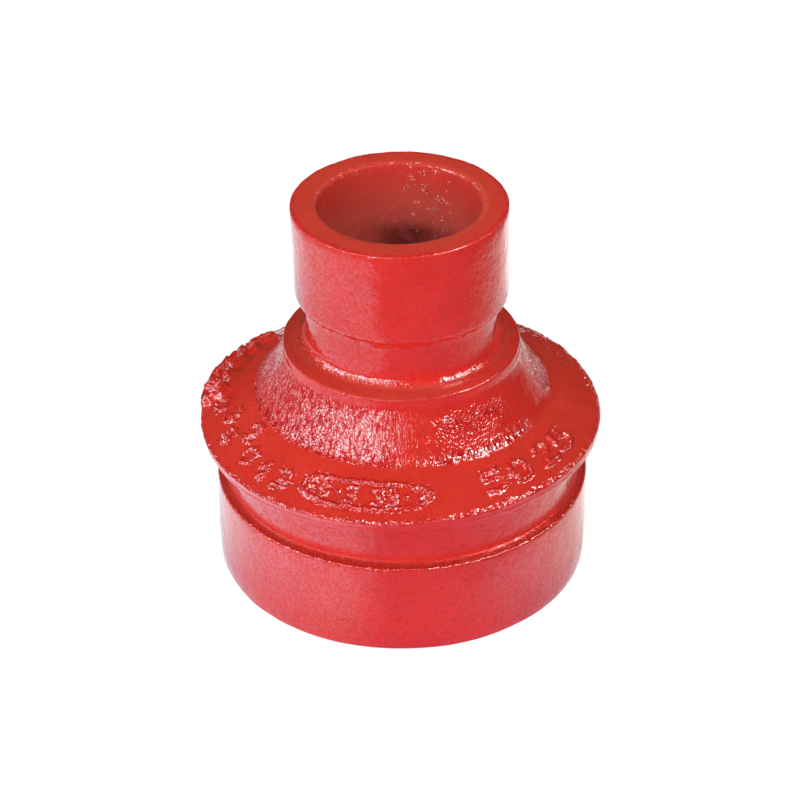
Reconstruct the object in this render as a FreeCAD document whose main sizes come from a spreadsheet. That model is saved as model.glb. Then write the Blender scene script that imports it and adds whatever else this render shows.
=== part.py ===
import FreeCAD, Part
import math
import os
import Sketcher

# Grooved concentric reducer: one iron casting that joins a large and a small pipe in line.
# The pipe axis is Z and the large end stands on z = 0. Lengths in mm, slopes in degrees.
# The front is towards -Y.

SIZES = {
    # Large end: the smooth band that a gasket seals on, then the groove for the coupling
    "LargeOutsideDiameter": 60.3,
    "LargeSeatLength": 15.88,
    "LargeGrooveWidth": 7.95,
    "LargeGrooveDepth": 1.6,
    "LargeWall": 3.9,
    # Small end, the same way round
    "SmallOutsideDiameter": 33.7,
    "SmallSeatLength": 15.88,
    "SmallGrooveWidth": 7.95,
    "SmallGrooveDepth": 1.6,
    "SmallWall": 3.85,
    # Body between the grooves: a sloping collar, a flare and a shoulder
    "BodyLength": 16.34,
    "CollarOverhang": 2.45,
    "CollarEdgeHeight": 2.2,
    "CollarSlope": 26.0,
    "CollarDraft": 6.0,
    "FlareRun": 4.4,
    "ShoulderOverhang": 2.05,
    "ShoulderBandHeight": 2.0,
    "ShoulderSlope": 8.0,
    # Water way: a straight bore at each end and a cone between them
    "LargeBoreDepth": 20.5,
    "SmallBoreDepth": 26.5,
    # Raised marks on the collar: a ring in front, light numerals to its right, bold ones behind
    # on the left. Angles run to the right from the front; places run down the collar's slope.
    "RingLength": 21.2,
    "RingHeight": 5.2,
    "RingAngle": -11.5,
    "LightLine": 0.6,
    "LightRise": 0.55,
    "LightHeight": 4.5,
    "LightPlace": 4.9,
    "LargeSizeAngle": 35.5,
    "SmallSizeAngle": 57.5,
    "SizePitch": 10.0,
    "BoldLine": 1.1,
    "BoldRise": 1.0,
    "BoldHeight": 5.2,
    "BoldPlace": 7.4,
    "LotAngle": -113.3,
    "LotPitch": 8.6,
    "MarkSink": 0.5,
    "MarkMargin": 0.6,
    # Softened corners: bevels on the small ones, fillets on the large ones
    "RimBevel": 0.25,
    "BoreBevel": 0.3,
    "SeatEdgeBevel": 0.2,
    "GrooveCornerBevel": 0.5,
    "CollarEdgeBevel": 0.25,
    "ShoulderBevel": 0.2,
    "ShoulderHeelBevel": 0.9,
    "FlareFillet": 2.0,
}

# Radii of the profile, as expressions on the sheet of sizes
AXIS = "0"
LARGE_RADIUS = "(Sizes.LargeOutsideDiameter / 2)"
LARGE_FLOOR = f"({LARGE_RADIUS} - Sizes.LargeGrooveDepth)"
LARGE_BORE = f"({LARGE_RADIUS} - Sizes.LargeWall)"
SMALL_RADIUS = "(Sizes.SmallOutsideDiameter / 2)"
SMALL_FLOOR = f"({SMALL_RADIUS} - Sizes.SmallGrooveDepth)"
SMALL_BORE = f"({SMALL_RADIUS} - Sizes.SmallWall)"
COLLAR_RADIUS = f"({LARGE_RADIUS} + Sizes.CollarOverhang)"
SHOULDER_RADIUS = f"({SMALL_RADIUS} + Sizes.ShoulderOverhang)"
ROOT_RADIUS = f"({SHOULDER_RADIUS} + Sizes.FlareRun)"

# Heights of the profile, from the large face up
LARGE_FACE = "0"
LARGE_SEAT_TOP = "Sizes.LargeSeatLength"
COLLAR_HEEL = f"({LARGE_SEAT_TOP} + Sizes.LargeGrooveWidth)"
COLLAR_UNDERSIDE = (
    f"({COLLAR_HEEL} + ({COLLAR_RADIUS} - {LARGE_FLOOR}) * tan(Sizes.CollarDraft))"
)
COLLAR_TOP = f"({COLLAR_HEEL} + Sizes.CollarEdgeHeight)"
ROOT_HEIGHT = f"({COLLAR_TOP} + ({COLLAR_RADIUS} - {ROOT_RADIUS}) * tan(Sizes.CollarSlope))"
SHOULDER_HEEL = f"({COLLAR_HEEL} + Sizes.BodyLength)"
SHOULDER_TOP = (
    f"({SHOULDER_HEEL} - ({SHOULDER_RADIUS} - {SMALL_FLOOR}) * tan(Sizes.ShoulderSlope))"
)
SHOULDER_BOTTOM = f"({SHOULDER_TOP} - Sizes.ShoulderBandHeight)"
SMALL_SEAT_BOTTOM = f"({SHOULDER_HEEL} + Sizes.SmallGrooveWidth)"
SMALL_FACE = f"({SMALL_SEAT_BOTTOM} + Sizes.SmallSeatLength)"
CONE_BOTTOM = "Sizes.LargeBoreDepth"
CONE_TOP = f"({SMALL_FACE} - Sizes.SmallBoreDepth)"

# The outside of the casting, from the axis out and up round both grooves
OUTSIDE = [
    (AXIS, LARGE_FACE),
    (LARGE_RADIUS, LARGE_FACE),
    (LARGE_RADIUS, LARGE_SEAT_TOP),
    (LARGE_FLOOR, LARGE_SEAT_TOP),
    (LARGE_FLOOR, COLLAR_HEEL),
    (COLLAR_RADIUS, COLLAR_UNDERSIDE),
    (COLLAR_RADIUS, COLLAR_TOP),
    (ROOT_RADIUS, ROOT_HEIGHT),
    (SHOULDER_RADIUS, SHOULDER_BOTTOM),
    (SHOULDER_RADIUS, SHOULDER_TOP),
    (SMALL_FLOOR, SHOULDER_HEEL),
    (SMALL_FLOOR, SMALL_SEAT_BOTTOM),
    (SMALL_RADIUS, SMALL_SEAT_BOTTOM),
    (SMALL_RADIUS, SMALL_FACE),
    (AXIS, SMALL_FACE),
]

# The water way that is left open through the casting
WATER_WAY = [
    (AXIS, LARGE_FACE),
    (LARGE_BORE, LARGE_FACE),
    (LARGE_BORE, CONE_BOTTOM),
    (SMALL_BORE, CONE_TOP),
    (SMALL_BORE, SMALL_FACE),
    (AXIS, SMALL_FACE),
]

# The bands of the collar's slope that the marks fill, from just inside the iron up
BAND_FOOT = f"({COLLAR_RADIUS} - Sizes.MarkMargin)"
BAND_HEAD = f"({ROOT_RADIUS} + Sizes.MarkMargin)"


def slope_height(radius):
    """Height of the collar's slope at a radius."""
    return f"({COLLAR_TOP} + ({COLLAR_RADIUS} - {radius}) * tan(Sizes.CollarSlope))"


def band(rise):
    """Corners of a band that stands a given rise above the slope."""
    lift = f"Sizes.{rise} / cos(Sizes.CollarSlope)"
    return [
        (BAND_FOOT, f"({slope_height(BAND_FOOT)} - Sizes.MarkSink)"),
        (BAND_FOOT, f"({slope_height(BAND_FOOT)} + {lift})"),
        (BAND_HEAD, f"({slope_height(BAND_HEAD)} + {lift})"),
        (BAND_HEAD, f"({slope_height(BAND_HEAD)} - Sizes.MarkSink)"),
    ]


# A plain numeral is drawn with bars; their ends are shares of its width and height
BARS = {
    "top": ((0, 1), (1, 1)),
    "middle": ((0, 0.5), (1, 0.5)),
    "bottom": ((0, 0), (1, 0)),
    "upper left": ((0, 0.5), (0, 1)),
    "upper right": ((1, 0.5), (1, 1)),
    "lower left": ((0, 0), (0, 0.5)),
    "lower right": ((1, 0), (1, 0.5)),
}
NUMERALS = {
    "zero": ["top", "bottom", "upper left", "upper right", "lower left", "lower right"],
    "two": ["top", "upper right", "middle", "lower left", "bottom"],
    "three": ["top", "upper right", "middle", "lower right", "bottom"],
    "five": ["top", "upper left", "middle", "lower right", "bottom"],
    "six": ["top", "upper left", "middle", "lower left", "lower right", "bottom"],
}
NUMERAL_WIDTH = 0.8
LARGE_SIZE_MARK = ["five", "zero"]
SMALL_SIZE_MARK = ["two", "five"]
LOT_MARK = ["zero", "two", "three", "six", "zero"]

# Softened corners of the profile: name, kind, size and where each one runs
BEVEL = "PartDesign::Chamfer"
FILLET = "PartDesign::Fillet"
CORNERS = [
    ("RimBevels", BEVEL, "RimBevel", [(LARGE_RADIUS, LARGE_FACE), (SMALL_RADIUS, SMALL_FACE)]),
    ("BoreBevels", BEVEL, "BoreBevel", [(LARGE_BORE, LARGE_FACE), (SMALL_BORE, SMALL_FACE)]),
    (
        "SeatEdgeBevels",
        BEVEL,
        "SeatEdgeBevel",
        [(LARGE_RADIUS, LARGE_SEAT_TOP), (SMALL_RADIUS, SMALL_SEAT_BOTTOM)],
    ),
    (
        "GrooveCorners",
        BEVEL,
        "GrooveCornerBevel",
        [
            (LARGE_FLOOR, LARGE_SEAT_TOP),
            (LARGE_FLOOR, COLLAR_HEEL),
            (SMALL_FLOOR, SMALL_SEAT_BOTTOM),
        ],
    ),
    (
        "CollarEdgeBevels",
        BEVEL,
        "CollarEdgeBevel",
        [(COLLAR_RADIUS, COLLAR_UNDERSIDE), (COLLAR_RADIUS, COLLAR_TOP)],
    ),
    ("ShoulderBevel", BEVEL, "ShoulderBevel", [(SHOULDER_RADIUS, SHOULDER_TOP)]),
    ("ShoulderHeel", BEVEL, "ShoulderHeelBevel", [(SMALL_FLOOR, SHOULDER_HEEL)]),
    ("FlareFillet", FILLET, "FlareFillet", [(SHOULDER_RADIUS, SHOULDER_BOTTOM)]),
]

SAME_PLACE = 1e-4


def make_sheet(document):
    """Put the driving sizes in a sheet, each under its own name."""
    sheet = document.addObject("Spreadsheet::Sheet", "Sizes")
    for row, (name, value) in enumerate(SIZES.items(), start=1):
        sheet.set(f"A{row}", name)
        sheet.set(f"B{row}", str(value))
        sheet.setAlias(f"B{row}", name)
    document.recompute()
    return sheet


def number(sheet, expression):
    """What an expression on the sheet comes to, in mm."""
    return float(sheet.evalExpression(expression))


def hold_corner(sketch, kind, axis, corner, name, expression, value):
    """Tie one distance of a corner from the origin to its expression, or pin it to an axis."""
    start_of_side = 1
    if expression == AXIS:
        sketch.addConstraint(Sketcher.Constraint("PointOnObject", corner, start_of_side, axis))
        return
    place = sketch.addConstraint(
        Sketcher.Constraint(kind, -1, start_of_side, corner, start_of_side, value)
    )
    sketch.renameConstraint(place, name)
    sketch.setExpression(f"Constraints.{name}", expression)


def draw_outline(body, sheet, name, corners):
    """Sketch a closed outline through corners that are given as radius and height.

    A side between two corners of one radius is held upright and one between two corners
    of one height is held level, so each radius and height is tied down once.
    """
    level_axis = -1
    upright_axis = -2
    sketch = body.newObject("Sketcher::SketchObject", name)
    plane = next(item for item in body.Origin.OriginFeatures if item.Role == "XZ_Plane")
    sketch.AttachmentSupport = (plane, [""])
    sketch.MapMode = "FlatFace"

    places = [(number(sheet, radius), number(sheet, height)) for radius, height in corners]
    points = [FreeCAD.Vector(radius, height, 0) for radius, height in places]
    ends = points[1:] + points[:1]
    for start, end in zip(points, ends):
        sketch.addGeometry(Part.LineSegment(start, end), False)
    for side in range(len(corners)):
        next_side = (side + 1) % len(corners)
        sketch.addConstraint(Sketcher.Constraint("Coincident", side, 2, next_side, 1))

    earlier_radius, earlier_height = None, None
    for corner, (radius, height) in enumerate(corners):
        if radius == earlier_radius:
            sketch.addConstraint(Sketcher.Constraint("Vertical", corner - 1))
        else:
            hold_corner(
                sketch, "DistanceX", upright_axis, corner, f"Radius{corner}", radius,
                places[corner][0],
            )
        if height == earlier_height:
            sketch.addConstraint(Sketcher.Constraint("Horizontal", corner - 1))
        else:
            hold_corner(
                sketch, "DistanceY", level_axis, corner, f"Height{corner}", height,
                places[corner][1],
            )
        earlier_radius, earlier_height = radius, height
    return sketch


def turn_profile(body, kind, name, sketch):
    """Turn a sketched profile once round the pipe axis, as solid or as hollow."""
    feature = body.newObject(kind, name)
    feature.Profile = sketch
    feature.ReferenceAxis = (sketch, ["V_Axis"])
    feature.Angle = 360.0
    body.Document.recompute()
    return feature


def edges_at(feature, sheet, places):
    """Names of the feature's round edges that run at the given radii and heights."""
    wanted = [(number(sheet, radius), number(sheet, height)) for radius, height in places]
    names = []
    for place, edge in enumerate(feature.Shape.Edges, start=1):
        if not isinstance(edge.Curve, Part.Circle):
            continue
        for radius, height in wanted:
            same_radius = abs(edge.Curve.Radius - radius) < SAME_PLACE
            same_height = abs(edge.Curve.Center.z - height) < SAME_PLACE
            if same_radius and same_height:
                names.append(f"Edge{place}")
    if len(names) != len(wanted):
        raise ValueError(f"{len(wanted)} edges wanted, {len(names)} found")
    return names


def soften_edges(body, sheet, name, kind, size, places):
    """Bevel or fillet the edges that run at the given places."""
    base = body.Tip
    feature = body.newObject(kind, name)
    feature.Base = (base, edges_at(base, sheet, places))
    feature.setExpression("Radius" if kind == FILLET else "Size", f"Sizes.{size}")
    body.Document.recompute()
    return feature


def make_casting(document, sheet):
    """The casting: its outside turned solid, the water way opened, its corners softened."""
    body = document.addObject("PartDesign::Body", "Casting")
    body.Placement = FreeCAD.Placement()
    outside = draw_outline(body, sheet, "OutsideProfile", OUTSIDE)
    blank = turn_profile(body, "PartDesign::Revolution", "Outside", outside)
    solid_volume = blank.Shape.Volume
    water_way = draw_outline(body, sheet, "WaterWayProfile", WATER_WAY)
    hollow = turn_profile(body, "PartDesign::Groove", "WaterWay", water_way)
    if hollow.Shape.Volume >= solid_volume:
        raise ValueError("the water way opened nothing")
    for name, kind, size, places in CORNERS:
        soften_edges(body, sheet, name, kind, size, places)
    return body


def bar(start, end, line):
    """A flat bar between two points, half a line longer at both ends."""
    start, end = FreeCAD.Vector(*start, 0), FreeCAD.Vector(*end, 0)
    ahead = (end - start).normalize() * line / 2
    aside = FreeCAD.Vector(-ahead.y, ahead.x, 0)
    corners = [
        start - ahead - aside, end + ahead - aside, end + ahead + aside, start - ahead + aside,
    ]
    return Part.Face(Part.makePolygon(corners + corners[:1]))


def numeral(sign, height, line, radius):
    """A numeral in plan, in front of the axis at a radius, with its top towards the axis."""
    width = height * NUMERAL_WIDTH
    bars = []
    for name in NUMERALS[sign]:
        ends = [
            ((x - 0.5) * (width - line), (y - 0.5) * (height - line) - radius)
            for x, y in BARS[name]
        ]
        bars.append(bar(*ends, line))
    return bars[0].multiFuse(bars[1:]).removeSplitter()


def curved_slot(length, height, radius):
    """A slot in plan that follows the collar in front of the axis, with round ends."""
    turn = math.degrees((length - height) / 2 / radius)
    axis = FreeCAD.Vector(0, 0, 1)
    start, end = -90 - turn, -90 + turn
    inner = Part.makeCircle(radius - height / 2, FreeCAD.Vector(), axis, start, end)
    outer = Part.makeCircle(radius + height / 2, FreeCAD.Vector(), axis, start, end)
    sides = [inner, outer]
    for angle, first in ((end, 0), (start, 180)):
        around = math.radians(angle)
        middle = FreeCAD.Vector(math.cos(around), math.sin(around), 0) * radius
        turned = (angle + first, angle + first + 180)
        sides.append(Part.makeCircle(height / 2, middle, axis, *turned))
    return Part.Face(Part.Wire(Part.__sortEdges__(sides)))


def place_round(shapes, angle, pitch):
    """Turn shapes from the front to their places, evenly round an angle."""
    placed = []
    for count, shape in enumerate(shapes):
        turn = angle + (count - (len(shapes) - 1) / 2) * pitch
        placed.append(shape.rotated(FreeCAD.Vector(), FreeCAD.Vector(0, 0, 1), turn))
    return placed


def mark_radius(sheet, place):
    """Radius of the point that lies a given distance down the collar's slope."""
    return number(sheet, f"{ROOT_RADIUS} + Sizes.{place} * cos(Sizes.CollarSlope)")


def light_marks(sheet):
    """Plans of the ring in front and of the two nominal sizes beside it."""
    line = sheet.LightLine
    plan = number(sheet, "cos(Sizes.CollarSlope)")
    radius = mark_radius(sheet, "LightPlace")
    length, height = sheet.RingLength, sheet.RingHeight * plan
    ring = curved_slot(length, height, radius).cut(
        curved_slot(length - 2 * line, height - 2 * line, radius)
    )
    marks = place_round([ring], sheet.RingAngle, 0)
    sizes = ((LARGE_SIZE_MARK, sheet.LargeSizeAngle), (SMALL_SIZE_MARK, sheet.SmallSizeAngle))
    for signs, angle in sizes:
        plans = [numeral(sign, sheet.LightHeight * plan, line, radius) for sign in signs]
        marks += place_round(plans, angle, sheet.SizePitch)
    return marks


def bold_marks(sheet):
    """Plans of the lot number behind, on the left."""
    height = sheet.BoldHeight * number(sheet, "cos(Sizes.CollarSlope)")
    radius = mark_radius(sheet, "BoldPlace")
    lot = [numeral(sign, height, sheet.BoldLine, radius) for sign in LOT_MARK]
    return place_round(lot, sheet.LotAngle, sheet.LotPitch)


def raise_marks(document, sheet, name, rise, plans):
    """Marks of one rise: their plans drawn up through a band of the collar's slope."""
    body = document.addObject("PartDesign::Body", f"{name}Band")
    profile = draw_outline(body, sheet, f"{name}BandProfile", band(rise))
    turn_profile(body, "PartDesign::Revolution", f"{name}BandTurn", profile)
    foot, head = number(sheet, LARGE_SEAT_TOP), number(sheet, SHOULDER_TOP)
    columns = document.addObject("Part::Feature", f"{name}Columns")
    columns.Shape = Part.makeCompound(
        [plan.translated(FreeCAD.Vector(0, 0, foot)).extrude(FreeCAD.Vector(0, 0, head - foot))
         for plan in plans]
    )
    marks = document.addObject("Part::Common", f"{name}Marks")
    marks.Base = body
    marks.Tool = columns
    document.recompute()
    return marks


def check_document(document, bodies):
    """Stop if a feature failed or a piece is not one sound solid."""
    for item in document.Objects:
        if "Invalid" in item.State or "Error" in item.State:
            raise ValueError(f"{item.Name} did not build: {item.State}")
    for body in bodies:
        if body.Shape.isNull() or not body.Shape.isValid():
            raise ValueError(f"{body.Label} is not a sound shape")
        if len(body.Shape.Solids) != 1:
            raise ValueError(f"{body.Label} is not one solid")


document = FreeCAD.newDocument("GroovedReducer")
sheet = make_sheet(document)
casting = make_casting(document, sheet)
light = raise_marks(document, sheet, "Light", "LightRise", light_marks(sheet))
bold = raise_marks(document, sheet, "Bold", "BoldRise", bold_marks(sheet))
reducer = document.addObject("Part::MultiFuse", "ReducerBody")
reducer.Label = "reducer_body"
reducer.Shapes = [casting, light, bold]
reducer.Placement = FreeCAD.Placement()
document.recompute()
check_document(document, [reducer])

os.makedirs("parts", exist_ok=True)
reducer.Shape.exportStep(f"parts/{reducer.Label}.step")
print(f"{reducer.Label}: {reducer.Shape.Volume:.0f} mm3, box {reducer.Shape.BoundBox}")
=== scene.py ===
import bpy
import bmesh
import math
import numpy as np
from mathutils import Matrix, Vector, noise


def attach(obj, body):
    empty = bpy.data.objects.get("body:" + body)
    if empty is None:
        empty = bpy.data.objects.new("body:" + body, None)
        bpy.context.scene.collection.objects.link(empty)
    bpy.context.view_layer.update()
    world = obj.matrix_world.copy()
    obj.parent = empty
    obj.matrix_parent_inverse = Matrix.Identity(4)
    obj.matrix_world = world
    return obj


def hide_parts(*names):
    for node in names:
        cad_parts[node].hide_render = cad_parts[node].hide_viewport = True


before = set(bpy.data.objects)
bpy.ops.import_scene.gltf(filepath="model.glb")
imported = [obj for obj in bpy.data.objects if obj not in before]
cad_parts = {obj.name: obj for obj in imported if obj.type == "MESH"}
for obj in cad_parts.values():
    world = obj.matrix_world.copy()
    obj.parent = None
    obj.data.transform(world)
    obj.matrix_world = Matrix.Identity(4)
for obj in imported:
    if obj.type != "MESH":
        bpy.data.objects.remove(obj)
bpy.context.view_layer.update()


# The casting: one piece of ductile iron, poured in a sand mould with a core for
# the water way, shot-blasted, and dipped in thick red enamel. Every corner is a
# little soft, the skin is uneven, and plain numbers stand up on the collar.

MM = 0.001
OUTLINE_STEP = 0.04        # mm between the points of the softened outline
CORNER_SPREAD = 0.10       # mm, how far an outer corner is worn round
HOLLOW_SPREAD = 0.40       # mm, how far sand and paint fill an inner corner
FLARE_SPREAD = 0.75        # mm, the same along the flare, where the mould's sand was weakest
SEAT_SPREAD = 0.45         # mm, how far the small seat's lower edge is rounded off over its groove
FILLED_REACH = 0.6         # mm, how far a filled corner runs on to both sides
LEDGE_LEVEL = 16.0         # mm up, the ledge of the large groove
LEDGE_RADIUS = 29.9        # mm, just inside the large seat
SEAT_FOOT_LEVEL = 48.1     # mm up, the lower edge of the small seat
BORE_SIDE = 14             # mm, the radius between the small bore and its outside
WELD = 1e-6                # m, points nearer than this are one


def read_outline(node):
    """The section's corners as (radius, height) in mm, up the outside and down the water way."""
    section = bmesh.new()
    section.from_mesh(node.data)
    bmesh.ops.remove_doubles(section, verts=section.verts, dist=WELD)
    bmesh.ops.bisect_plane(
        section, geom=section.verts[:] + section.edges[:] + section.faces[:], dist=WELD / 10,
        plane_co=(0, 0, 0), plane_no=(0, 1, 0), clear_inner=True, clear_outer=True)
    bmesh.ops.remove_doubles(section, verts=section.verts, dist=WELD)
    near = {v: [] for v in section.verts if v.co.x > 0}
    for edge in section.edges:
        a, b = edge.verts
        if a in near and b in near:
            near[a].append(b)
            near[b].append(a)
    start = min(near, key=lambda v: (round(v.co.z / MM, 2), -v.co.x))
    walk = [start, max(near[start], key=lambda v: v.co.z)]
    while len(walk) <= len(near):
        onward = [v for v in near[walk[-1]] if v is not walk[-2]]
        if not onward or onward[0] is start:
            break
        walk.append(onward[0])
    corners = np.array([(v.co.x / MM, v.co.z / MM) for v in walk])
    section.free()
    return corners


def ease(x):
    """Rises smoothly from 0 to 1 as x does."""
    x = np.clip(x, 0, 1)
    return x * x * (3 - 2 * x)


def stretch(x, start, rise, end, fall):
    """1 along a stretch with soft ends: it rises from start on and has fallen to 0 at end."""
    return ease((x - start) / rise) * ease((end - x) / fall)


def hump(x, at, over):
    """1 at one place, and fading away over a width on both sides of it."""
    return np.exp(-((x - at) / over) ** 2)


def blur(values, spread):
    """Gaussian average of a closed run of values; spread in mm."""
    reach = int(4 * spread / OUTLINE_STEP)
    weights = np.exp(-0.5 * (np.arange(-reach, reach + 1) * OUTLINE_STEP / spread) ** 2)
    run_on = np.concatenate([values[-reach:], values, values[:reach]])
    return np.convolve(run_on, weights / weights.sum(), "valid")


def soften(corners):
    """The outline at even steps: outer corners a little round, inner ones filled by sand and paint."""
    closed = np.vstack([corners, corners[:1]])
    run = np.concatenate([[0], np.cumsum(np.hypot(*np.diff(closed, axis=0).T))])
    places = np.arange(0, run[-1], OUTLINE_STEP)
    line = np.stack([np.interp(places, run, closed[:, k]) for k in (0, 1)])
    across, up = line

    def blurred(spread):
        return np.stack([blur(part, spread) for part in line])

    crisp = blurred(CORNER_SPREAD)
    full = blurred(HOLLOW_SPREAD)
    weak_sand = np.maximum(
        stretch(up, start=27, rise=2, end=38, fall=1),
        0.2 * hump(up, at=LEDGE_LEVEL, over=1.0) * (across < LEDGE_RADIUS))
    full += (blurred(FLARE_SPREAD) - full) * weak_sand
    worn = hump(up, at=SEAT_FOOT_LEVEL, over=0.9) * (across > BORE_SIDE)
    full += (blurred(SEAT_SPREAD) - full) * worn
    step = np.roll(crisp, -1, axis=1) - np.roll(crisp, 1, axis=1)
    bend = step[0] * np.roll(step[1], -1) - step[1] * np.roll(step[0], -1)
    hollow = np.clip(2.5 * blur((bend < -1e-5).astype(float), FILLED_REACH), 0, 1)
    return (crisp + (full - crisp) * np.maximum(hollow, worn)).T


casting_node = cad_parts["reducer_body"]
outline = soften(read_outline(casting_node))
radius, height = outline.T
along = (np.roll(outline, -1, axis=0) - np.roll(outline, 1, axis=0)) / 2
heading = np.arctan2(along[:, 1], along[:, 0])
turning = np.abs(np.gradient(np.unwrap(heading))) / OUTLINE_STEP
turning[[0, -1]] = turning[1]


def sloping(least, most):
    """The longest unbroken run of outside points that head between two angles in degrees."""
    outside = np.arange(len(outline)) < height.argmax()
    fits = outside & (np.degrees(heading) > least) & (np.degrees(heading) < most)
    ends = np.flatnonzero(np.diff(np.concatenate([[0], fits.astype(int), [0]])))
    best = int((ends[1::2] - ends[::2]).argmax())
    return np.arange(ends[2 * best], ends[2 * best + 1])


# Places on the outline that the rest goes by
cone = sloping(146, 162)
flare = sloping(112, 138)
collar_edge = int(radius.argmax())
rim = int(np.flatnonzero(height > height.max() - 0.01)[0])
root = (radius[cone].min(), height[cone].max())
lip = (radius[cone].max(), height[cone].min())
fall = math.atan2(root[1] - lip[1], lip[0] - root[0])

# Rows of points: close together on the collar, where the marks are, and on every turn
RING = {"collar": 800, "flare": 400, "pipe": 200}          # points round one ring
ROW_GAP = {"collar": 0.21, "flare": 0.36, "pipe": 2.2}     # mm between two rows
LEAST_GAP = 0.08           # mm
TURN_TO_ROW = 0.36         # radians that the outline may turn from row to row
GAP_GROWTH = 0.02          # mm, how much more each gap may be than the mean of its neighbours
GROWTH_PASSES = 60
BELOW_COLLAR, ABOVE_FLARE = 40, 150    # points of the outline that the flare's rows run on
BELOW_CONE, ABOVE_CONE = 22, 8         # and the collar's, from the collar's edge and the cone's root

order = np.arange(len(outline))
tier = np.full(len(outline), "pipe", dtype=object)
tier[(order > collar_edge - BELOW_COLLAR) & (order < flare.max() + ABOVE_FLARE)] = "flare"
tier[(order > collar_edge - BELOW_CONE) & (order < cone.max() + ABOVE_CONE)] = "collar"
row_gap = np.array([ROW_GAP[name] for name in tier])
row_gap = np.minimum(row_gap, TURN_TO_ROW / np.maximum(turning, 1e-3))
row_gap = np.maximum(row_gap, LEAST_GAP)
for _ in range(GROWTH_PASSES):
    row_gap = np.minimum(row_gap, (np.roll(row_gap, 1) + np.roll(row_gap, -1)) / 2 + GAP_GROWTH)
count = np.concatenate([[0], np.cumsum(OUTLINE_STEP / row_gap)])
row_total = round(count[-1])
rows = np.searchsorted(count, np.arange(0, row_total - 0.5) * count[-1] / row_total)
rows = np.unique(np.minimum(rows, len(outline) - 1))
ring_size = [RING[tier[row]] for row in rows]

first = np.concatenate([[0], np.cumsum(ring_size)])
turn = np.concatenate([np.arange(n) * 2 * np.pi / n for n in ring_size])     # 0 faces the camera
which = np.repeat(rows, ring_size)
r, z = radius[which], height[which]
out = np.stack([along[which, 1], -along[which, 0]], axis=1)
out /= np.hypot(*out.T)[:, None]


NOISE_GAIN = 1.6           # brings the noise to about -1 and 1


def lumps(size, seed):
    """Uneven skin: soft noise about size mm across, between about -1 and 1."""
    spots = np.stack([r * np.sin(turn), -r * np.cos(turn), z], axis=1) / size + seed
    return np.array([noise.noise(Vector(spot)) for spot in spots]) * NOISE_GAIN


def uneven(*layers):
    """Lumps upon lumps, each layer given as its rise in mm, its size in mm and its seed."""
    return sum(rise * lumps(size, seed) for rise, size, seed in layers)


# The marks stand on the collar's cone. Each is drawn with strokes in mm: the first
# number runs round the collar, the second points up the cone to the axis.
DIGIT_HEIGHT = 1.5         # of the shapes below, which are 1 wide
DIGITS = {
    "0": [(0.5, 1.5), (0.12, 1.28), (0, 0.75), (0.12, 0.22), (0.5, 0),
          (0.88, 0.22), (1, 0.75), (0.88, 1.28), (0.5, 1.5)],
    "1": [(0.15, 1.2), (0.55, 1.5), (0.55, 0)],
    "2": [(0, 1.15), (0.15, 1.42), (0.5, 1.5), (0.88, 1.36), (0.92, 1.02), (0.6, 0.6), (0, 0), (1, 0)],
    "3": [(0, 1.4), (0.45, 1.5), (0.9, 1.3), (0.82, 0.95), (0.42, 0.8),
          (0.95, 0.62), (0.95, 0.22), (0.5, 0), (0, 0.12)],
    "5": [(0.95, 1.5), (0.08, 1.5), (0.02, 0.85), (0.5, 0.98), (0.98, 0.78),
          (0.98, 0.25), (0.5, 0), (0, 0.12)],
    "6": [(0.88, 1.38), (0.45, 1.5), (0.08, 1.05), (0, 0.45), (0.25, 0.05), (0.7, 0.02),
          (1, 0.38), (0.82, 0.8), (0.4, 0.88), (0.04, 0.6)],
    "7": [(0, 1.5), (1, 1.5), (0.4, 0)],
}
marks_height = np.zeros(len(r))
marks_near = np.zeros(len(r))
marks_foot = np.zeros(len(r))
PAST_CONE = 6              # points of the outline that marks may run on past the cone
REACH_ROUND, REACH_UP = 16, 9                     # mm, further than the strokes of any mark go
SKIRT, SKIRT_FADE = 1.2, 0.9                      # mm of rough skin by a stroke, and its soft edge
FOOT_WIDTH = 0.26          # mm, the line where a mark meets the cone
on_cone = (which >= cone.min() - PAST_CONE) & (which <= cone.max() + PAST_CONE)
down = (r - root[0]) / math.cos(fall)             # mm down the cone from its root
wobble_round, wobble_up, wobble_rise = lumps(1.1, 3.7), lumps(1.3, 9.1), lumps(0.9, 1.2)


def raise_mark(side, place, strokes, width, rise, grain=0.16, wall=0.3):
    """Adds raised strokes, centred side degrees round the collar and place mm down the cone."""
    middle = root[0] + place * math.cos(fall)
    round_the_collar = ((turn - math.radians(side) + np.pi) % (2 * np.pi) - np.pi) * middle
    up_the_cone = place - down
    near = on_cone & (np.abs(round_the_collar) < REACH_ROUND) & (np.abs(up_the_cone) < REACH_UP)
    u = round_the_collar[near] + grain * wobble_round[near]
    v = up_the_cone[near] + grain * wobble_up[near]
    gap = np.full(len(u), np.inf)
    for line in strokes:
        for (ax, ay), (bx, by) in zip(line[:-1], line[1:]):
            span = (bx - ax) ** 2 + (by - ay) ** 2 + 1e-9
            t = np.clip(((u - ax) * (bx - ax) + (v - ay) * (by - ay)) / span, 0, 1)
            gap = np.minimum(gap, np.hypot(u - ax - t * (bx - ax), v - ay - t * (by - ay)))
    outer_gap = width / 2 + wall / 2
    lifted = rise * ease((outer_gap - gap) / wall) * (1 + 0.2 * wobble_rise[near])
    marks_height[near] = np.maximum(marks_height[near], lifted)
    marks_near[near] = np.maximum(marks_near[near], ease((SKIRT - gap) / SKIRT_FADE))
    marks_foot[near] = np.maximum(marks_foot[near], hump(gap, at=outer_gap, over=FOOT_WIDTH))


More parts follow.
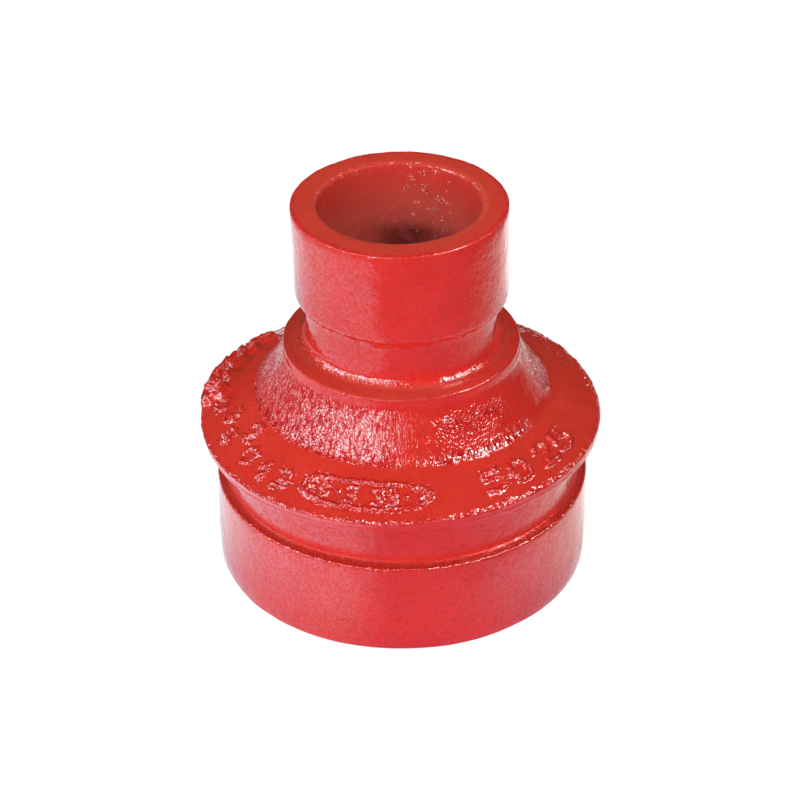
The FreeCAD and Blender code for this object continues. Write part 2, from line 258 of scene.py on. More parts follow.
def numerals(text, size, width, gap=0.0):
    """Strokes for a row of plain numerals, size mm high, centred on 0, 0; width and gap are shares."""
    wide = size * width
    strokes = []
    start = -(len(text) * wide + (len(text) - 1) * gap * wide) / 2
    for n, sign in enumerate(text):
        left = start + n * wide * (1 + gap)
        if sign == ".":
            strokes.append([(left + wide / 2, 0), (left + wide / 2 + 0.01, 0)])
        elif sign in DIGITS:
            strokes.append([(left + x * wide, (y / DIGIT_HEIGHT - 0.5) * size) for x, y in DIGITS[sign]])
    return strokes


def long_ring(half_length, half_height, points=32):
    """A long ring with full ends, as one closed stroke that starts at its right end and goes up."""
    sweep = np.linspace(0, 2 * np.pi, points)
    return [(half_length * math.copysign(abs(math.cos(a)) ** 0.7, math.cos(a)),
             half_height * math.copysign(abs(math.sin(a)) ** 0.8, math.sin(a))) for a in sweep]


# In the ring the two outside diameters in mm, right of it the two nominal sizes, on the
# left a small worn row and a bold one of plain digits, and a few low lumps at the back.
# Each has its side, in degrees round the collar to the right of the camera, then its
# place, in mm down the cone from its root, but a bold digit has its rise in mm.
RING_SIDE = -11.5
RING_PLACE = 4.9
RING_HALVES = ((slice(0, 17), 0.35), (slice(16, 32), 0.55))        # the upper half is worn lower
SIZE_DIGITS = (("5", 30.5), ("0", 40.5), ("2", 52.5), ("5", 62.5))
SMALL_DIGITS = (("3", -39, 5.7), ("1", -47, 6.0), ("0", -56, 5.4), ("2", -63, 2.6),
                ("6", -70, 5.8), ("3", -78, 4.0), ("0", -87, 5.6))
BOLD_PLACE = 7.6
BOLD_DIGITS = (("0", -130.5, 0.75), ("2", -122, 0.95), ("3", -113.5, 1.1), ("6", -105, 1.25), ("0", -96, 1.4))
LOW_LUMPS = ((99, 8.6), (103, 7.9), (111, 5.4), (113, 6.9), (118, 5.9), (122, 4.7), (127, 6.3), (131, 5.2))
LUMP_STROKE = [(-0.35, -0.15), (0.35, 0.15)]

ring_stroke = long_ring(10.3, 2.3)
for half, rise in RING_HALVES:
    raise_mark(RING_SIDE, RING_PLACE, [ring_stroke[half]], width=0.55, rise=rise, grain=0.2, wall=0.24)
diameters = numerals("60.3 33.7", size=2.7, width=0.5, gap=0.6)
raise_mark(RING_SIDE, RING_PLACE, diameters, width=0.4, rise=0.3, grain=0.12)
for sign, side in SIZE_DIGITS:
    raise_mark(side, RING_PLACE, numerals(sign, size=4.0, width=0.8), width=0.7, rise=0.42, grain=0.2)
for sign, side, place in SMALL_DIGITS:
    raise_mark(side, place, numerals(sign, size=2.8, width=0.8), width=0.55, rise=0.42, grain=0.6, wall=0.35)
for sign, side, rise in BOLD_DIGITS:
    bold = numerals(sign, size=4.4, width=0.85)
    raise_mark(side, BOLD_PLACE, bold, width=1.3, rise=rise, grain=0.2, wall=0.8)
for side, place in LOW_LUMPS:
    raise_mark(side, place, [LUMP_STROKE], width=0.5, rise=0.25, wall=0.4)

# The skin: slow unevenness everywhere, least on the machined end faces, finer lumps on
# the marks and the small rim, and a ragged line along the lip of the cone
past_lip = (which - cone.min()) * OUTLINE_STEP    # mm along the outline
past_rim = (which - rim) * OUTLINE_STEP
flat_end = ease((np.abs(out[:, 1]) - 0.9) * 10) * ((z < 1) | (z > height.max() - 1))
skin = uneven((0.05, 11, 0.5), (0.035, 4.2, 5.5), (0.022, 2.1, 2.5)) * (1 - 0.8 * flat_end)
ragged = hump(past_lip, at=0, over=0.5)
skin += ragged * (uneven((0.11, 0.9, 2.2), (0.09, 0.55, 3.1)) - 0.05)
skin += marks_height + marks_near * uneven((0.05, 0.9, 6.1), (0.07, 0.5, 4.4))
rim_edge = hump(past_rim, at=0, over=0.45)
skin += rim_edge * (uneven((0.04, 0.9, 6.6)) - 0.02)
r = r + out[:, 0] * skin
z = z + out[:, 1] * skin

# The collar was cast a little askew: its edge rises on the right, sinks on the left and
# sits to the left. The small end leans to the left too, and thick paint widens its rim.
RIM_SWELL = 0.13           # mm, the small seat's rim, wider
FOOT_DRAFT = 0.15          # mm, the large end's foot, narrower
BORE_DRAFT = 0.22          # mm, the small bore's upper part, narrower
COLLAR_SHIFT = 0.27        # mm to the left
COLLAR_SHRINK = 0.18       # mm, the collar's edge, narrower
SMALL_END_SHIFT = 0.12     # mm to the right, at the small seat's foot
SMALL_END_LEAN = 0.36      # mm to the left from there to its rim
RIM_RADIUS = 17            # mm, where the small rim keeps its height
RIM_TILT = 0.009           # mm down for each mm to the left of that
ASKEW_BELOW = 110          # points of the outline under the collar's edge that go with it
COLLAR_TILT = 0.45         # mm up on the right and down on the left
MORE_BEHIND = 0.45         # mm more of that at the back
COLLAR_TWIST = 0.25        # mm up between front and right, and up again opposite
UNDERCUT = 0.32            # mm, the collar's underside, drawn in
UNDERCUT_LEFT = 0.2        # mm more of that on the left, and less on the right
SEAT_FOOT, SEAT_LENGTH = 48, 16                   # mm, the small seat
LEAN_FOOT, LEAN_LENGTH = 40, 8                    # mm up, where the lean sets in
FOOT_HEIGHT = 2            # mm

askew = ease((r - root[0] - 0.5) / 7.5) * ((which > collar_edge - ASKEW_BELOW) & (which < cone.max()))
seat = np.clip((z - SEAT_FOOT) / SEAT_LENGTH, 0, 1)
foot = ease((FOOT_HEIGHT - z) / FOOT_HEIGHT)
behind = ease((-np.cos(turn) - 0.15) / 0.5)
level = height[which]
girth = radius[which]
inner = which > rim
bore_wall = inner & (girth < girth[inner].min() + 0.35)
r = r + (RIM_SWELL * seat - FOOT_DRAFT * foot) * (which < rim) - COLLAR_SHRINK * askew
r = r - BORE_DRAFT * bore_wall * ease((level - 42) / 8)
drawn_in = UNDERCUT - UNDERCUT_LEFT * np.sin(turn)
r = r - drawn_in * stretch(-past_lip, start=0, rise=1.2, end=4.2, fall=2.5)
x = r * np.sin(turn) - COLLAR_SHIFT * askew
x = x + (SMALL_END_SHIFT - SMALL_END_LEAN * seat) * ease((z - LEAN_FOOT) / LEAN_LENGTH)
y = -r * np.cos(turn)
tilt = (COLLAR_TILT + MORE_BEHIND * behind) * np.sin(turn) + COLLAR_TWIST * np.sin(2 * turn)
z = z + askew * tilt - RIM_TILT * (RIM_RADIUS - x) * seat
inward = np.minimum(1, radius.max() / np.hypot(x, y))
x, y = x * inward, y * inward
z = np.clip(z, 0, height.max())


def ring_faces(low_start, low, high_start, high):
    """Faces between two rings, of as many points each or one with twice as many as the other."""
    for k in range(min(low, high)):
        if low == high:
            yield (low_start + k, low_start + (k + 1) % low, high_start + (k + 1) % low, high_start + k)
        elif low == 2 * high:
            p, q, s = (low_start + (2 * k + m) % low for m in (0, 1, 2))
            here, onward = high_start + k, high_start + (k + 1) % high
            yield from ((p, q, here), (q, onward, here), (q, s, onward))
        else:
            p, q, s = (high_start + (2 * k + m) % high for m in (0, 1, 2))
            here, onward = low_start + k, low_start + (k + 1) % low
            yield from ((here, q, p), (here, onward, q), (onward, s, q))


faces = []
for n in range(len(rows)):
    onward = (n + 1) % len(rows)
    faces += ring_faces(first[n], ring_size[n], first[onward], ring_size[onward])
skin_mesh = bpy.data.meshes.new("painted_casting")
skin_mesh.from_pydata((np.stack([x, y, z], axis=1) * MM).tolist(), [], faces)
skin_mesh.shade_smooth()


def through(x, *points):
    """Reads x off a line drawn through points, each given as its place and its value."""
    places, values = zip(*points)
    return np.interp(x, places, values)


# Where the sand left the skin rough: on the flare most, at its root and in the small
# groove's corner. It is roughest on the left and at the right limb, and smooth on the
# right of the front, apart from two bands and a patch between them.
round_to = (turn + np.pi) % (2 * np.pi) - np.pi       # radians round from the camera, to the right
past_root = (which - cone.max()) * OUTLINE_STEP       # mm along the outline from the collar's root
coarse = through(
    round_to, (-2.0, 0.8), (-1.5, 1.4), (-0.9, 1.3), (-0.6, 1.3), (-0.5, 0.9), (-0.07, 0.8), (0.0, 0.4),
    (0.2, 0.3), (1.0, 0.25), (1.1, 0.1), (1.35, 0.1), (1.5, 1.7), (1.8, 1.7), (2.2, 0.8))
upper_band = hump(past_root, at=6.2, over=1.1) * stretch(round_to, start=0.22, rise=0.15, end=0.95, fall=0.2)
lower_band = hump(past_root, at=0.8, over=1.0) * stretch(round_to, start=0.18, rise=0.1, end=1.1, fall=0.15)
between_them = hump(past_root, at=4.4, over=1.1) * hump(round_to, at=0.54, over=0.12)
coarse += 1.2 * np.maximum.reduce([upper_band, lower_band, between_them])
on_flare = stretch(level, start=30, rise=1.2, end=38.4, fall=1.0) * ~inner
at_root = stretch(past_root, start=-0.2, rise=0.6, end=3.0, fall=1.5)
in_corner = hump(level, at=40.5, over=0.5) * (which > flare.max()) * ~inner
rough = np.maximum.reduce([on_flare * coarse, 1.3 * at_root * coarse, 0.7 * in_corner])

# Grit that shows as sparks through its bumps: on the marks and on the edges, and in scattered
# spots at the back of the small bore, round its edge, about a rough patch and deeper down.
# In the bore's spots the sparks are also painted glints, and the grit's gaps get painted shade.
seat_edge = hump(level, at=15.7, over=0.35) * (girth > lip[0] - 3.2) * ~inner
shoulder_edge = hump(level, at=39.75, over=0.3) * (girth > 18.4) * ~inner
grit = np.maximum.reduce([marks_near, ragged, 0.8 * seat_edge, 0.7 * shoulder_edge, 0.6 * rim_edge])
bore_edge = hump(level, at=63.8, over=0.3) * bore_wall * ease((0.2 - np.cos(turn)) / 0.4)
patch = stretch(turn, start=2.3, rise=0.35, end=3.2, fall=0.2) * ease((level - 52) / 3) * bore_wall
pit = hump(turn, at=2.9, over=0.55) * ease((57 - level) / 3) * bore_wall
scattered = np.maximum.reduce([1.6 * patch, 1.4 * bore_edge, 1.2 * pit])

# Edges and small flats where the paint is drawn thin and dry, so that they hardly shine,
# apart from the stretches at the front right that the lamp catches
rim_shines = 0.5 * hump(round_to, at=0.54, over=0.13)
dry_rim = rim_edge * (1 - rim_shines)
shoulder_shines = 0.8 * stretch(round_to, start=0.4, rise=0.15, end=1.0, fall=0.2)
dry_shoulder = shoulder_edge * (1 - shoulder_shines)
ledge_shines = stretch(round_to, start=0.44, rise=0.08, end=0.84, fall=0.08)
ledge_shines = ledge_shines * ease(0.4 + 1.5 * lumps(1.1, 4.2))
on_ledge = (level > 15.7) & (level < 17.6) & (girth < 29.8) & ~inner
shoulder_face = stretch(girth, start=16.9, rise=0.4, end=18.8, fall=0.15)
shoulder_face = shoulder_face * (level > 39.3) * (level < 40.4) * ~inner
corner = stretch(level, start=39.95, rise=0.15, end=43.0, fall=0.8) * (girth < 17.2) * ~inner
corner_shines = stretch(round_to, start=0.36, rise=0.08, end=0.94, fall=0.12)
dull = np.maximum.reduce([
    np.maximum(dry_rim, dry_shoulder) * ease(1.3 - lumps(1.0, 8.1)),
    0.3 * ragged * ease(0.5 + lumps(2.5, 5.1)),
    bore_edge * ease(1.0 - 1.6 * lumps(1.8, 3.3)),
    0.7 * (1 - 0.6 * ledge_shines) * on_ledge,
    0.8 * shoulder_face,
    0.8 * corner * ease((round_to - 0.02) / 0.08) * (1 - corner_shines)])

# Painted shade, where less light reaches: on the ledge of the large groove under the collar, on the
# shoulder's sides, at the foot of every mark, in shadows by the bold marks and at the bore's left edge,
# and deep at the bore's back. The shoulder's front gets a tint painted for its light and reflection.
# A shade by the marks has its side in degrees, its place and its size in mm.
BOLD_SHADES = ((-107, 4.2, 1.0), (-114, 3.9, 1.2), (-124, 4.5, 0.9))

ledge = (level > 15.5) & (level < 16.3) & (girth < LEDGE_RADIUS) & ~inner
shoulder = (level > 39.6) & (level < 41) & (girth > 15.9) & ~inner
at_foot = marks_foot * np.clip(1 - marks_height / 0.35, 0, 1)
shade = 0.4 * hump(turn, at=4.95, over=0.22) * ease((level - 58) / 3) * inner * (level < 63.9)
for side, place, size in BOLD_SHADES:
    gap = np.hypot((round_to - math.radians(side)) * r, down - place)
    shade = np.maximum(shade, 0.6 * hump(gap, at=0, over=size) * on_cone)
in_front = hump(round_to, at=0, over=0.9)
aside = 0.5 * ease(-round_to) + 0.25 * ease(round_to)
painted_shade = np.maximum.reduce([0.4 * ledge, shoulder * aside * (1 - in_front), 0.1 * at_foot, shade])
# Painted shade deep at the back of the small bore, where the water way widens out of sight
deep_shade = hump(turn, at=3.0, over=0.62) * ease((55 - level) / 4) * inner
# Where the front of the shoulder gets a tint painted for its light and reflection
painted_front_tint = shoulder * in_front

finish = {"rough": rough, "grit": grit, "scattered": scattered, "dull": dull,
          "painted_shade": painted_shade, "deep_shade": deep_shade, "painted_front_tint": painted_front_tint}
for name, values in finish.items():
    skin_mesh.attributes.new(name, "FLOAT", "POINT").data.foreach_set("value", values.astype(np.float32))
painted_casting = bpy.data.objects.new("painted_casting", skin_mesh)
bpy.context.scene.collection.objects.link(painted_casting)

# The enamel: thick glossy dip paint over sand-cast skin. These are the steps that its
# colour, shine and relief are made of; the scale of a grain is its spots to the metre.
enamel = bpy.data.materials.new("red_enamel")
enamel.use_nodes = True
enamel_nodes, enamel_links = enamel.node_tree.nodes, enamel.node_tree.links
enamel_surface = enamel_nodes["Principled BSDF"].inputs
on_casting = enamel_nodes.new("ShaderNodeTexCoord").outputs["Object"]
MIX_UNDER, MIX_OVER, MIX_RESULT = 6, 7, 2         # the colour sockets of a mix node


def feed(socket, value):
    """Links a socket to another one, or sets it to a plain number or colour."""
    if isinstance(value, bpy.types.NodeSocket):
        enamel_links.new(value, socket)
    else:
        socket.default_value = value


def grain(scale, detail=2.0, distortion=0.0, where=on_casting):
    """Soft spots that run from 0 to 1."""
    node = enamel_nodes.new("ShaderNodeTexNoise")
    node.inputs["Scale"].default_value = scale
    node.inputs["Detail"].default_value = detail
    node.inputs["Distortion"].default_value = distortion
    feed(node.inputs["Vector"], where)
    return node.outputs["Fac"]


def fit(value, low, high, start, end):
    """Goes smoothly from start, where the value is low, to end, where it is high."""
    node = enamel_nodes.new("ShaderNodeMapRange")
    node.interpolation_type = "SMOOTHSTEP"
    for socket, number in zip(node.inputs[1:5], (low, high, start, end)):
        socket.default_value = number
    feed(node.inputs["Value"], value)
    return node.outputs["Result"]


def combine(kind, a, b):
    """Two values added, multiplied or compared."""
    node = enamel_nodes.new("ShaderNodeMath")
    node.operation = kind
    feed(node.inputs[0], a)
    feed(node.inputs[1], b)
    return node.outputs[0]


def times(a, b):
    return combine("MULTIPLY", a, b)


def most(a, b):
    return combine("MAXIMUM", a, b)


def worked(kind, vector, *others):
    """A vector worked on in one way, such as its length or a product."""
    node = enamel_nodes.new("ShaderNodeVectorMath")
    node.operation = kind
    feed(node.inputs[0], vector)
    for n, other in enumerate(others, 1):
        feed(node.inputs[n], other)
    return node.outputs["Value" if kind == "LENGTH" else "Vector"]


def pebbles(scale, longer):
    """Rounded grains with creases between them, each some times as long up the pipe as wide."""
    node = enamel_nodes.new("ShaderNodeTexVoronoi")
    node.feature = "DISTANCE_TO_EDGE"
    node.inputs["Scale"].default_value = scale
    feed(node.inputs["Vector"], worked("MULTIPLY", on_casting, (1, 1, 1 / longer)))
    return fit(node.outputs["Distance"], 0, 0.15, 0, 1)


def finish_of(name):
    """One of the finishes that the mesh carries."""
    node = enamel_nodes.new("ShaderNodeAttribute")
    node.attribute_name = name
    return node.outputs["Fac"]


def coat(under, over, share):
    """Lays a share of one colour over another."""
    node = enamel_nodes.new("ShaderNodeMix")
    node.data_type = "RGBA"
    feed(node.inputs[MIX_UNDER], under)
    feed(node.inputs[MIX_OVER], over)
    feed(node.inputs["Factor"], share)
    return node.outputs[MIX_RESULT]


def relief(bumps, share, depth, under=None):
    """Raises the surface where there are bumps, by a share of a depth in mm, over what is there."""
    node = enamel_nodes.new("ShaderNodeBump")
    node.inputs["Distance"].default_value = depth * MM
    feed(node.inputs["Height"], bumps)
    feed(node.inputs["Strength"], share)
    if under is not None:
        feed(node.inputs["Normal"], under)
    return node.outputs["Normal"]


def put_together(x=0, y=0, z=0):
    """A vector from its three parts."""
    node = enamel_nodes.new("ShaderNodeCombineXYZ")
    for socket, value in zip(node.inputs, (x, y, z)):
        feed(socket, value)
    return node.outputs[0]


# The flare's ripples and valleys run up the pipe: its height is drawn in to DRAWN_UP of
# itself, and the turn round it is laid out on a circle of WRAP_RADIUS.
DRAWN_UP = 0.45
WRAP_RADIUS = 20 * MM
parts = enamel_nodes.new("ShaderNodeSeparateXYZ")
feed(parts.inputs[0], on_casting)
paint_level = parts.outputs["Z"]
from_axis = put_together(parts.outputs["X"], parts.outputs["Y"])
wrapped = worked("MULTIPLY_ADD", worked("NORMALIZE", from_axis),
                 (WRAP_RADIUS, WRAP_RADIUS, 0), put_together(z=times(paint_level, DRAWN_UP)))
ripples = grain(1500, 1, 0.3, wrapped)
valleys = fit(grain(2300, 1, 0.6, wrapped), 0.52, 0.42, 0, 1)
gaps = fit(grain(2600, 1), 0.48, 0.60, 0, 1)
in_small_bore = fit(worked("LENGTH", from_axis), 13.8 * MM, 13.3 * MM, 0, 1)
down_the_bore = times(fit(paint_level, 64 * MM, 50 * MM, 0.16, 1), in_small_bore)
rough_paint = finish_of("rough")
clusters = times(finish_of("scattered"), fit(grain(800, 1), 0.56, 0.63, 0, 1))
back_shade = times(finish_of("deep_shade"), fit(grain(450, 3), 0.35, 0.62, 0.7, 1))

# Its colour: the coat itself with its random tone, then painted light laid on it: a painted
# reflection down the bore, painted shade in gaps and valleys and where less light reaches,
# painted glints, and a painted tint on the shoulder's front
BODY_RED = (0.68, 0.026, 0.019, 1)
BRIGHTER_RED = (0.73, 0.031, 0.023, 1)
FINE_SHADE = (0.58, 0.018, 0.014, 1)
BORE_SHEEN_PINK = (0.80, 0.20, 0.15, 1)
GRIT_GAP_SHADE = (0.40, 0.008, 0.008, 1)
VALLEY_SHADE_RED = (0.52, 0.010, 0.016, 1)
PAINTED_GLINT = (1.0, 0.36, 0.31, 1)
PAINTED_SHADE_BROWN = (0.20, 0.030, 0.018, 1)
BACK_SHADE_BROWN = (0.19, 0.042, 0.036, 1)
PAINTED_FRONT_RED = (0.60, 0.056, 0.036, 1)
tone = coat(BODY_RED, BRIGHTER_RED, fit(grain(90), 0.35, 0.65, 0, 1))
tone = coat(tone, FINE_SHADE, fit(grain(1500, 2), 0.50, 0.75, 0, 0.6))
# Painted reflection: a paler pink down the small bore, stronger deeper in, for the sheen seen there
tone = coat(tone, BORE_SHEEN_PINK, down_the_bore)
# Painted shade: dark specks in the gaps between the grains of the grit and of the bore's spots
tone = coat(tone, GRIT_GAP_SHADE, times(most(finish_of("grit"), clusters), times(gaps, 0.4)))
# Painted shade: a deeper red in the valleys of the rough skin
tone = coat(tone, VALLEY_SHADE_RED, times(rough_paint, times(valleys, 0.6)))
# Painted glints: bright pink dots laid in the colour of the bore's scattered spots
tone = coat(tone, PAINTED_GLINT, times(clusters, fit(grain(3000, 1), 0.50, 0.60, 0, 0.9)))
# Painted shade: dark brown where less light reaches, on the ledge, the shoulder's sides, the marks' feet and
# the bore's left edge
tone = coat(tone, PAINTED_SHADE_BROWN, finish_of("painted_shade"))
# Painted shade, in blotches, deep at the back of the small bore
tone = coat(tone, BACK_SHADE_BROWN, back_shade)
# Painted light: the shoulder's front gets a paler, more orange tint for the light and reflection it shows
feed(enamel_surface["Base Color"], coat(tone, PAINTED_FRONT_RED, finish_of("painted_front_tint")))

# Its shine, least in the valleys, between the grit and where it is dull
SMOOTHEST, ROUGHEST = 0.05, 0.11
DULL_ROUGHNESS = 0.45
LEAST_SHINE, MOST_SHINE = 0.28, 0.68
enamel_surface["IOR"].default_value = 1.5
uneven_gloss = fit(grain(260, 3), 0.3, 0.7, SMOOTHEST, ROUGHEST)
feed(enamel_surface["Roughness"], combine("ADD", uneven_gloss, times(finish_of("dull"), DULL_ROUGHNESS)))
hidden = most(times(rough_paint, valleys), finish_of("dull"))
hidden = most(hidden, times(finish_of("grit"), gaps))
hidden = most(hidden, times(clusters, 0.45))
shine = times(fit(grain(2400, 2), 0.35, 0.65, LEAST_SHINE, MOST_SHINE), fit(hidden, 0, 1, 1, 0.15))
feed(enamel_surface["Specular IOR Level"], shine)

# Its relief: slow waves, fine waves, ripples and pebbles on the rough skin, and the grit
surface = relief(grain(420, 2), 1, 0.15)
surface = relief(grain(1500, 1, 0.3), 1, 0.04, surface)
surface = relief(ripples, rough_paint, 0.15, surface)
surface = relief(pebbles(2200, 1.5), rough_paint, 0.04, surface)
surface = relief(grain(2000, 1), most(finish_of("grit"), clusters), 0.34, surface)
feed(enamel_surface["Normal"], surface)

skin_mesh.materials.append(enamel)
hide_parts("reducer_body")
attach(painted_casting, "root")


# The table: a pale matt sheet that runs out of sight, just under the fitting's foot so
# that the two don't meet. The camera sees it nearly white, apart from a faint shadow.

TABLE_HALF = 3000          # mm from its middle to each side
TABLE_DROP = 0.05          # mm
TABLE_WHITE = (0.85, 0.85, 0.85, 1)
TABLE_GLOW = 1.2           # what the camera alone sees, for TABLE_GLOW_SHARE of the table's look
TABLE_GLOW_SHARE = 0.75

table_white = bpy.data.materials.new("table_white")
table_white.use_nodes = True
nodes, links = table_white.node_tree.nodes, table_white.node_tree.links
nodes.clear()
matt = nodes.new("ShaderNodeBsdfDiffuse")
matt.inputs["Color"].default_value = TABLE_WHITE
white = nodes.new("ShaderNodeEmission")
white.inputs["Strength"].default_value = TABLE_GLOW
for_camera = nodes.new("ShaderNodeMixShader")
for_camera.inputs[0].default_value = TABLE_GLOW_SHARE
links.new(matt.outputs[0], for_camera.inputs[1])
links.new(white.outputs[0], for_camera.inputs[2])
ray = nodes.new("ShaderNodeLightPath")
pick = nodes.new("ShaderNodeMixShader")
links.new(ray.outputs["Is Camera Ray"], pick.inputs[0])
links.new(matt.outputs[0], pick.inputs[1])
links.new(for_camera.outputs[0], pick.inputs[2])
links.new(pick.outputs[0], nodes.new("ShaderNodeOutputMaterial").inputs["Surface"])

table_corners = [(a * TABLE_HALF * MM, b * TABLE_HALF * MM, -TABLE_DROP * MM)
                 for a, b in ((-1, -1), (1, -1), (1, 1), (-1, 1))]
table_mesh = bpy.data.meshes.new("table")
table_mesh.from_pydata(table_corners, [], [(0, 1, 2, 3)])
table_mesh.materials.append(table_white)
table = bpy.data.objects.new("table", table_mesh)
table.visible_glossy = False
bpy.context.scene.collection.objects.link(table)


# The studio as the wet-looking paint mirrors it: the table top, light on both sides and
# dark in front, and above it a dim warm room with a wide panel lamp on the left and a
# higher one on the right. Only mirrored rays reach these two sheets.

# Colours of light, each named for what it makes of the red paint
COOL = np.array([0.78, 1.03, 1.12])
ROSY = np.array([0.50, 1.0, 1.12])
PLAIN = np.array([1.02, 1.0, 0.97])
WARM = np.array([1.3, 1.0, 0.42])
CRIMSON = np.array([0.0, 0.30, 0.60])
DIM = 0.05                 # the darkest of the table
SHEET_DROP = 0.3           # mm under the fitting's foot
LEFT_LAMP = 14.0
RIGHT_LAMP = 45


def between(low, high, x):
    """Rises from 0 to 1 as x goes from low to high."""
    return ease((x - low) / (high - low))[:, None]


def table_top(side, far):
    """Colour of the table side degrees round from the camera and far mm from the fitting."""
    reach = np.clip((far - 42) / 60, 0, 1.6)      # 0 close by and most far off
    close = np.clip(1.6 - 2 * reach, 0, 1)        # 1 close by alone
    left = between(0, 1, (side + 1 + 13 * reach) / -through(far, (40, 28), (90, 20)))
    beside = through(side, (-140, 0.68), (-112, 0.92), (-90, 1.2), (0, 1.2))
    left *= (1 + close * (beside - 1))[:, None]
    right = between(0, 1, (side - 5 - 45 * reach) / (75 + 15 * reach))
    right *= through(far, (42, 1), (61, 0.75), (85, 1.0), (110, 1.24), (200, 1.2))[:, None]
    near = through(far, (30, 1), (60, 1), (120, 0.4), (250, 0.1))[:, None]
    near = near * (1 - left) * (1 - between(40, 90, side))
    fade = through(
        far, (30, 0.75), (36, 1.2), (45, 1.75), (82, 0.92), (100, 1.6), (250, 0.8), (600, 0.6))[:, None]
    fade *= 1 - between(115, 130, far) * between(150, 158, np.abs(side))      # nothing far behind
    cool = COOL * (1 + between(-105, -60, side) * (0, 0, 0.14))
    return DIM + near * CRIMSON + fade * np.maximum(left * cool, right * PLAIN)


def room(side, up):
    """Colour of the room side degrees round from the camera and up degrees above the table."""
    low_panel = between(12, 15, up) * between(45, 41, up)
    high_panel = between(34, 36, up) * between(56, 53, up)
    wide_lamp = LEFT_LAMP * between(-60, -54, side) * between(-12, -15, side) * low_panel
    wing = LEFT_LAMP * between(-102, -97, side) * between(-57, -61, side) * low_panel
    right_lamp = RIGHT_LAMP * between(45, 47, side) * between(95, 93, side) * high_panel
    return (0.10 + 0.20 * between(15, 32, up)) * WARM + (wide_lamp + wing) * ROSY + right_lamp * PLAIN


def mirrored(name, spots, glow, across):
    """A sheet of spots, across to a row, that glows in the given colours for the paint alone."""
    strips = [(k, k + 1, k + 1 + across, k + across) for k in range(len(spots) - across) if (k + 1) % across]
    mesh = bpy.data.meshes.new(name)
    mesh.from_pydata(spots.tolist(), [], strips)
    colours = np.hstack([glow, np.ones((len(glow), 1))]).astype(np.float32)
    mesh.attributes.new("glow", "FLOAT_COLOR", "POINT").data.foreach_set("color", colours.ravel())
    material = bpy.data.materials.new(name)
    material.use_nodes = True
    material.cycles.emission_sampling = "NONE"
    nodes, links = material.node_tree.nodes, material.node_tree.links
    nodes.clear()
    light = nodes.new("ShaderNodeEmission")
    colour = nodes.new("ShaderNodeAttribute")
    colour.attribute_name = "glow"
    links.new(colour.outputs["Color"], light.inputs["Color"])
    links.new(light.outputs[0], nodes.new("ShaderNodeOutputMaterial").inputs["Surface"])
    mesh.materials.append(material)
    piece = bpy.data.objects.new(name, mesh)
    piece.visible_camera = piece.visible_diffuse = piece.visible_shadow = piece.visible_transmission = False
    bpy.context.scene.collection.objects.link(piece)


sides = np.linspace(-180, 180, 361)                                   # degrees
distances = np.array([0, 25, 32, 37, 42, 48, 55, 63, 73, 85, 100, 120, 150, 190, 250, 330, 450, 650, 1000])
climbs = np.concatenate([np.arange(0, 45, 1.5), np.arange(45, 91, 7.5)])

side, far = (grid.ravel() for grid in np.meshgrid(sides, distances))
east, north = np.sin(np.radians(side)), -np.cos(np.radians(side))
table_spots = np.stack([far * east, far * north, far * 0 - SHEET_DROP], axis=1) * MM
mirrored("mirrored_table", table_spots, table_top(side, far), len(sides))

side, up = (grid.ravel() for grid in np.meshgrid(sides, climbs))
east, north = np.sin(np.radians(side)), -np.cos(np.radians(side))
flat = np.cos(np.radians(up))
room_spots = np.stack([flat * east, flat * north, np.sin(np.radians(up))], axis=1) - (0, 0, SHEET_DROP * MM)
mirrored("mirrored_room", room_spots, room(side, up), len(sides))


# The light: a plain pale room, brighter low down, and two wide soft lamps in front and
# to the left, one low and one high. Their shine is left to the mirrored studio.

LAMP_AIM = Vector((0, 0, 30 * MM))
FLOOR_GLOW = 0.704
CEILING_GLOW = 0.512


def soft_lamp(name, side, rise, distance, size, level):
    """A round lamp, size and distance in m, that lights what faces it about as brightly as level."""
    a, e = math.radians(side), math.radians(rise)
    direction = Vector((math.sin(a) * math.cos(e), -math.cos(a) * math.cos(e), math.sin(e)))
    data = bpy.data.lights.new(name, "AREA")
    data.shape = "DISK"
    data.size = size
    data.energy = level * math.pi ** 2 * distance ** 2
    lamp = bpy.data.objects.new(name, data)
    lamp.location = LAMP_AIM + direction * distance
    lamp.rotation_euler = (-direction).to_track_quat("-Z", "Y").to_euler()
    lamp.visible_glossy = False
    bpy.context.scene.collection.objects.link(lamp)


soft_lamp("front_lamp", side=-21, rise=14, distance=0.8, size=0.5, level=0.37)
soft_lamp("top_lamp", side=-30, rise=64, distance=0.9, size=0.6, level=0.18)

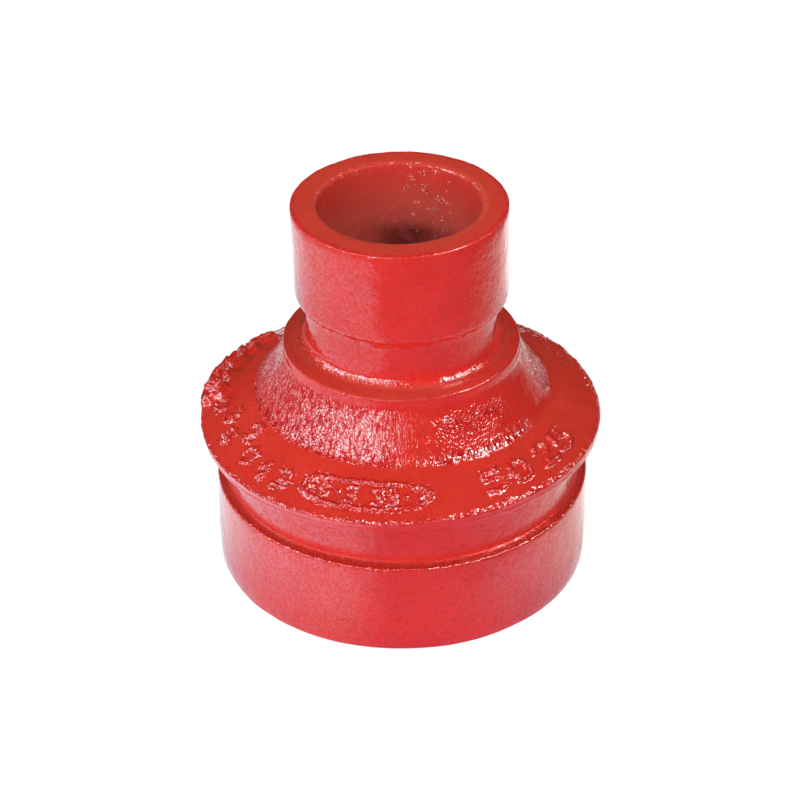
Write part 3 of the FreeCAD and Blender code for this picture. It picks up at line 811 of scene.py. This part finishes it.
world = bpy.context.scene.world or bpy.data.worlds.new("pale_room")
bpy.context.scene.world = world
world.use_nodes = True
nodes, links = world.node_tree.nodes, world.node_tree.links
nodes.clear()
pale = nodes.new("ShaderNodeBackground")
pale.inputs["Color"].default_value = (1, 1, 1, 1)
split = nodes.new("ShaderNodeSeparateXYZ")
links.new(nodes.new("ShaderNodeTexCoord").outputs["Generated"], split.inputs[0])
falloff = nodes.new("ShaderNodeMapRange")
for socket, number in zip(falloff.inputs[1:5], (0, 1, FLOOR_GLOW, CEILING_GLOW)):
    socket.default_value = number
links.new(split.outputs["Z"], falloff.inputs["Value"])
ray = nodes.new("ShaderNodeLightPath")
full = nodes.new("ShaderNodeMath")
full.operation = "MAXIMUM"
links.new(falloff.outputs["Result"], full.inputs[0])
links.new(ray.outputs["Is Camera Ray"], full.inputs[1])
links.new(full.outputs[0], pale.inputs["Strength"])
links.new(pale.outputs[0], nodes.new("ShaderNodeOutputWorld").inputs["Surface"])


# The camera looks down at the small end from in front, as the photograph does, with a
# long lens and a slight roll.

CAMERA_RISE = math.radians(33.14)
CAMERA_ROLL = math.radians(-0.29)
CAMERA_DISTANCE = 0.42503  # m
CAMERA_AIM = Vector((-0.27, 0, 27.45)) * MM
LENS = 118.45              # mm, on a sensor 36 mm wide
SENSOR = 36

back = Vector((0, -math.cos(CAMERA_RISE), math.sin(CAMERA_RISE)))
right, up = Vector((1, 0, 0)), Vector((0, math.sin(CAMERA_RISE), math.cos(CAMERA_RISE)))
across = right * math.cos(CAMERA_ROLL) + up * math.sin(CAMERA_ROLL)
upward = up * math.cos(CAMERA_ROLL) - right * math.sin(CAMERA_ROLL)
spot = CAMERA_AIM + back * CAMERA_DISTANCE
lens = bpy.data.cameras.new("camera")
lens.sensor_width = SENSOR
lens.lens = LENS
lens.clip_start = 0.01
camera = bpy.data.objects.new("camera", lens)
camera.matrix_world = Matrix((
    (across.x, upward.x, back.x, spot.x),
    (across.y, upward.y, back.y, spot.y),
    (across.z, upward.z, back.z, spot.z),
    (0, 0, 0, 1)))
bpy.context.scene.collection.objects.link(camera)
bpy.context.scene.camera = camera
bpy.context.scene.view_settings.view_transform = "Standard"
